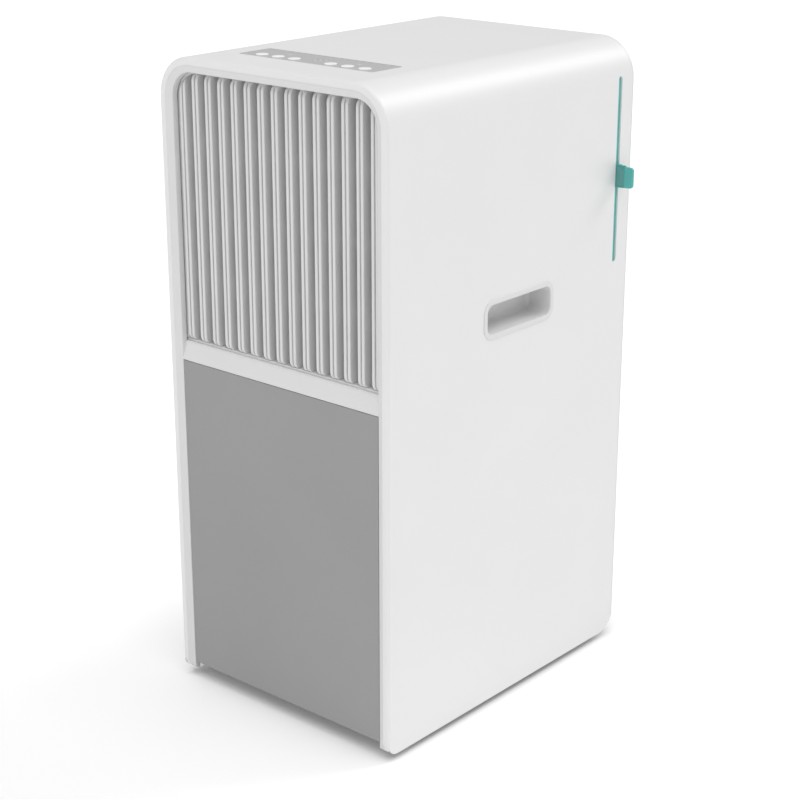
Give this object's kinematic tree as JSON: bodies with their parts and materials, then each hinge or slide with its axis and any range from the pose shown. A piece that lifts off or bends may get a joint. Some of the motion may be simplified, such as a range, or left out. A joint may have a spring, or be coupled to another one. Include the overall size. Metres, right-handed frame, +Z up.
{
  "type": "upright dehumidifier",
  "caption": "Tall slim home dehumidifier with a ribbed front louvre, grey lower panel, top controls, side pull-out air filter, rear water tank and hidden casters.",
  "frame": {"origin": "on the floor, under the middle of the cabinet", "axes": "+X to the unit's right side seen from the front (the side the filter pulls out of), +Y to the back, +Z up; the louvre faces -Y"},
  "size_m": [0.3239, 0.395, 0.6886],
  "materials": {
    "shell_white": "satin moulded ABS",
    "bezel_white": "satin moulded ABS",
    "panel_grey": "fine-textured matt ABS",
    "louvre_grey": "satin moulded ABS",
    "tray_grey": "moulded polypropylene",
    "strip_grey": "silk-gloss moulded strip",
    "lens_clear": "clear window over a white mask",
    "board_green": "solder mask",
    "switch_black": "moulded nylon",
    "button_white": "gloss moulded",
    "filter_teal": "satin moulded polypropylene",
    "filter_net": "woven nylon net",
    "duct_plastic": "plain moulded ABS",
    "coil_aluminium": "bare fin stock",
    "pipe_copper": "drawn copper tube",
    "bracket_steel": "zinc-plated pressed steel",
    "shaft_steel": "bright steel",
    "fan_plastic": "moulded polypropylene",
    "nut_brass": "machined brass",
    "compressor_black": "black enamel",
    "rubber_black": "moulded rubber",
    "tank_plastic": "moulded polypropylene",
    "lid_grey": "moulded polypropylene",
    "handle_grey": "moulded polypropylene",
    "float_foam": "closed-cell foam",
    "capacitor_can": "drawn can",
    "caster_steel": "zinc-plated steel",
    "caster_tyre": "moulded tread"
  },
  "bodies": {
    "cabinet": {"cabinet_wrap": "shell_white", "front_frame": "bezel_white", "lower_front_panel": "panel_grey", "louvre_grille": "louvre_grey", "rear_cover": "shell_white", "base_tray": "tray_grey", "grip_right": "bezel_white", "grip_left": "bezel_white", "control_panel": "strip_grey", "display_lens": "lens_clear", "control_board": "board_green", "button_switches": "switch_black", "filter_guide": "duct_plastic", "evaporator_fins": "coil_aluminium", "evaporator_tubes": "pipe_copper", "condenser_fins": "coil_aluminium", "condenser_tubes": "pipe_copper", "drip_tray": "duct_plastic", "fan_shroud": "duct_plastic", "motor_bracket": "bracket_steel", "fan_motor": "bracket_steel", "compressor": "compressor_black", "compressor_grommets": "rubber_black", "suction_pipe": "pipe_copper", "discharge_pipe": "pipe_copper", "capillary_tube": "pipe_copper", "filter_drier": "pipe_copper", "tank_bay": "duct_plastic", "float_switch": "switch_black", "main_board": "board_green", "run_capacitor": "capacitor_can", "humidity_sensor": "duct_plastic", "power_inlet": "switch_black", "drain_spigot": "handle_grey", "caster_plates": "caster_steel", "cover_screws": "shaft_steel"},
    "air_filter": {"filter_frame": "filter_teal", "filter_mesh": "filter_net"},
    "fan": {"motor_shaft": "shaft_steel", "fan_rotor": "fan_plastic", "fan_nut": "nut_brass"},
    "water_tank": {"tank": "tank_plastic", "tank_lid": "lid_grey"},
    "tank_bail": {"tank_handle": "handle_grey"},
    "water_float": {"tank_float": "float_foam"},
    "plug": {"drain_plug": "rubber_black"},
    "button_power_cap": {"button_power": "button_white"},
    "button_mode_cap": {"button_mode": "button_white"},
    "button_speed_cap": {"button_speed": "button_white"},
    "button_timer_cap": {"button_timer": "button_white"},
    "button_down_cap": {"button_down": "button_white"},
    "button_up_cap": {"button_up": "button_white"},
    "caster_fl": {"caster_fork_fl": "caster_steel"},
    "wheel_fl": {"caster_wheel_fl": "caster_tyre"},
    "caster_fr": {"caster_fork_fr": "caster_steel"},
    "wheel_fr": {"caster_wheel_fr": "caster_tyre"},
    "caster_rl": {"caster_fork_rl": "caster_steel"},
    "wheel_rl": {"caster_wheel_rl": "caster_tyre"},
    "caster_rr": {"caster_fork_rr": "caster_steel"},
    "wheel_rr": {"caster_wheel_rr": "caster_tyre"}
  },
  "joints": [
    {"name": "filter_slide", "type": "slide", "parent": "cabinet", "child": "air_filter", "axis": [1, 0, 0], "range_m": [0, 0.285]},
    {"name": "fan_spin", "type": "hinge", "parent": "cabinet", "child": "fan", "pos_m": [0, 0.04, 0.5318], "axis": [0, 1, 0], "continuous": true},
    {"name": "tank_slide", "type": "slide", "parent": "cabinet", "child": "water_tank", "axis": [0, 1, 0], "range_m": [0, 0.145]},
    {"name": "bail_hinge", "type": "hinge", "parent": "water_tank", "child": "tank_bail", "pos_m": [0, 0.128, 0.2699], "axis": [-1, 0, 0], "range_deg": [0, 90]},
    {"name": "float_rise", "type": "slide", "parent": "water_tank", "child": "water_float", "axis": [0, 0, 1], "range_m": [0, 0.03]},
    {"name": "plug_pull", "type": "slide", "parent": "cabinet", "child": "plug", "axis": [0, 1, 0], "range_m": [0, 0.02]},
    {"name": "power_press", "type": "slide", "parent": "cabinet", "child": "button_power_cap", "axis": [0, 0, -1], "range_m": [0, 0.001], "stiffness_N_per_m": 800},
    {"name": "mode_press", "type": "slide", "parent": "cabinet", "child": "button_mode_cap", "axis": [0, 0, -1], "range_m": [0, 0.001], "stiffness_N_per_m": 800},
    {"name": "speed_press", "type": "slide", "parent": "cabinet", "child": "button_speed_cap", "axis": [0, 0, -1], "range_m": [0, 0.001], "stiffness_N_per_m": 800},
    {"name": "timer_press", "type": "slide", "parent": "cabinet", "child": "button_timer_cap", "axis": [0, 0, -1], "range_m": [0, 0.001], "stiffness_N_per_m": 800},
    {"name": "down_press", "type": "slide", "parent": "cabinet", "child": "button_down_cap", "axis": [0, 0, -1], "range_m": [0, 0.001], "stiffness_N_per_m": 800},
    {"name": "up_press", "type": "slide", "parent": "cabinet", "child": "button_up_cap", "axis": [0, 0, -1], "range_m": [0, 0.001], "stiffness_N_per_m": 800},
    {"name": "swivel_fl", "type": "hinge", "parent": "cabinet", "child": "caster_fl", "pos_m": [-0.11, -0.15, 0.04], "axis": [0, 0, 1], "continuous": true},
    {"name": "roll_fl", "type": "hinge", "parent": "caster_fl", "child": "wheel_fl", "pos_m": [-0.11, -0.138, 0.018], "axis": [1, 0, 0], "continuous": true},
    {"name": "swivel_fr", "type": "hinge", "parent": "cabinet", "child": "caster_fr", "pos_m": [0.11, -0.15, 0.04], "axis": [0, 0, 1], "continuous": true},
    {"name": "roll_fr", "type": "hinge", "parent": "caster_fr", "child": "wheel_fr", "pos_m": [0.11, -0.138, 0.018], "axis": [1, 0, 0], "continuous": true},
    {"name": "swivel_rl", "type": "hinge", "parent": "cabinet", "child": "caster_rl", "pos_m": [-0.11, 0.15, 0.04], "axis": [0, 0, 1], "continuous": true},
    {"name": "roll_rl", "type": "hinge", "parent": "caster_rl", "child": "wheel_rl", "pos_m": [-0.11, 0.162, 0.018], "axis": [1, 0, 0], "continuous": true},
    {"name": "swivel_rr", "type": "hinge", "parent": "cabinet", "child": "caster_rr", "pos_m": [0.11, 0.15, 0.04], "axis": [0, 0, 1], "continuous": true},
    {"name": "roll_rr", "type": "hinge", "parent": "caster_rr", "child": "wheel_rr", "pos_m": [0.11, 0.162, 0.018], "axis": [1, 0, 0], "continuous": true}
  ]
}
